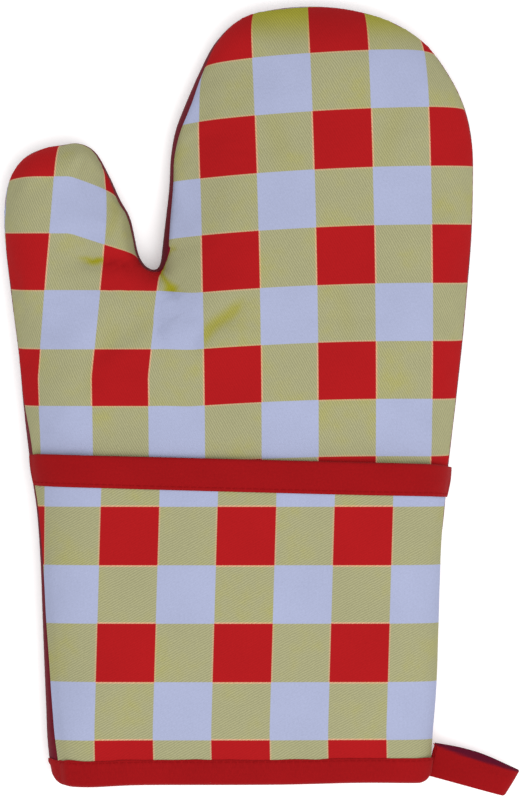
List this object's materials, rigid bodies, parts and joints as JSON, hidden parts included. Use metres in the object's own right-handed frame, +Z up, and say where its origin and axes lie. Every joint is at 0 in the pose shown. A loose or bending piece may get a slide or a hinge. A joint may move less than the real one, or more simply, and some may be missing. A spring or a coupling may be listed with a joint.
{
  "type": "oven mitt",
  "caption": "Padded oven mitt with a checked face, plain back, bound cuff pocket, bound wrist opening and a hanging loop.",
  "frame": {"origin": "on the surface the mitt lies on, under the middle of its outer box", "axes": "+Y from the wrist opening to the fingertips, -X towards the thumb, +Z up out of the checked face"},
  "size_m": [0.2188, 0.3344, 0.0368],
  "materials": {
    "checked_cloth": "matte cotton twill woven in red, olive and off-white squares",
    "red_cloth": "matte plain red cotton",
    "bias_tape": "matte plain-weave red bias tape",
    "wadding": "fluffy off-white wadding",
    "lining": "matte off-white cotton",
    "thread": "twisted red polyester thread"
  },
  "bodies": {
    "hand": {"front_shell_palm": "checked_cloth", "front_wadding_palm": "wadding", "front_lining_palm": "lining", "back_shell_palm": "red_cloth", "back_wadding_palm": "wadding", "back_lining_palm": "lining", "seam_thread_palm": "thread", "pocket_panel": "checked_cloth", "pocket_lining": "lining", "pocket_binding": "bias_tape", "pocket_binding_thread": "thread", "hem_binding": "bias_tape", "hem_binding_thread": "thread", "loop_bartack": "thread"},
    "thumb": {"front_shell_thumb": "checked_cloth", "front_wadding_thumb": "wadding", "front_lining_thumb": "lining", "back_shell_thumb": "red_cloth", "back_wadding_thumb": "wadding", "back_lining_thumb": "lining", "seam_thread_thumb": "thread"},
    "fingers": {"front_shell_fingers": "checked_cloth", "front_wadding_fingers": "wadding", "front_lining_fingers": "lining", "back_shell_fingers": "red_cloth", "back_wadding_fingers": "wadding", "back_lining_fingers": "lining", "seam_thread_fingers": "thread"},
    "loop": {"hanging_loop": "bias_tape"}
  },
  "joints": [
    {"name": "thumb_bend", "type": "hinge", "parent": "hand", "child": "thumb", "pos_m": [-0.08014, 0.05158, 0.0279], "axis": [0.9135, 0.4067, 0], "range_deg": [0, 55], "stiffness_Nm_per_rad": 0.1},
    {"name": "finger_bend", "type": "hinge", "parent": "hand", "child": "fingers", "pos_m": [0.0226, 0.07, 0.0279], "axis": [1, 0, 0], "range_deg": [0, 70], "stiffness_Nm_per_rad": 0.25},
    {"name": "loop_swing", "type": "hinge", "parent": "hand", "child": "loop", "pos_m": [0.0782, -0.152, 0.0109], "axis": [-0.2588, -0.9659, 0], "range_deg": [-80, 80]}
  ]
}
